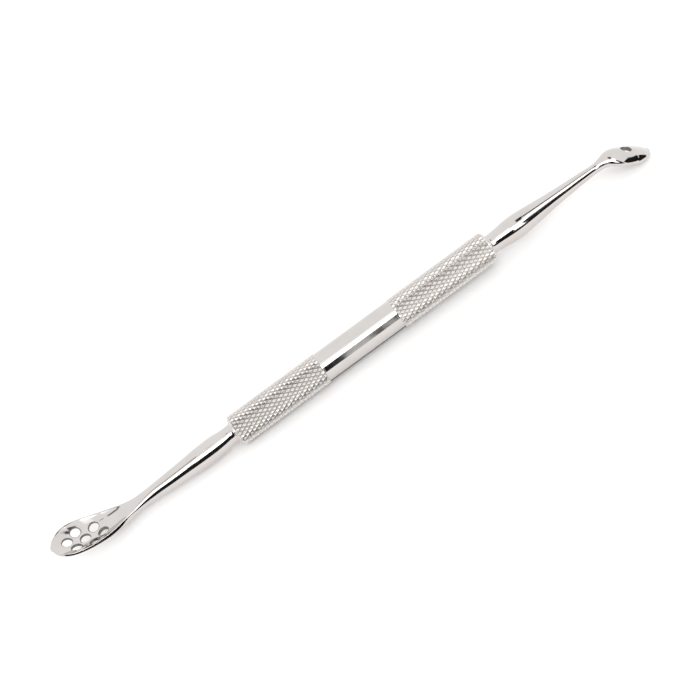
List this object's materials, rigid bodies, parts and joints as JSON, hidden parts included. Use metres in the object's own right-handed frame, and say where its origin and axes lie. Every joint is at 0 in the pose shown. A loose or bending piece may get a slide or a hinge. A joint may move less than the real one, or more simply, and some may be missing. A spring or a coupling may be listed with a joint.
{
  "type": "double-ended comedone extractor",
  "caption": "Slim polished steel skin tool: a knurled round handle with a perforated dished spoon at one end and a small deep spoon with an eyelet hole at the other.",
  "frame": {"origin": "middle of the handle, on its axis", "axes": "+X along the handle towards the small eyelet spoon, +Z the side the large sieve spoon opens to, Y across the tool"},
  "size_m": [0.1452, 0.0086, 0.0092],
  "materials": {
    "handle_steel": "polished stainless steel, diamond-knurled grip zones and a mirror band",
    "spoon_steel": "mirror-polished stainless steel",
    "braze_filler": "silver-brass filler metal, smooth as flowed"
  },
  "bodies": {
    "root": {"handle": "handle_steel", "sieve_spoon": "spoon_steel", "eyelet_spoon": "spoon_steel", "braze_ring_sieve_end": "braze_filler", "braze_ring_eyelet_end": "braze_filler"}
  },
  "joints": []
}
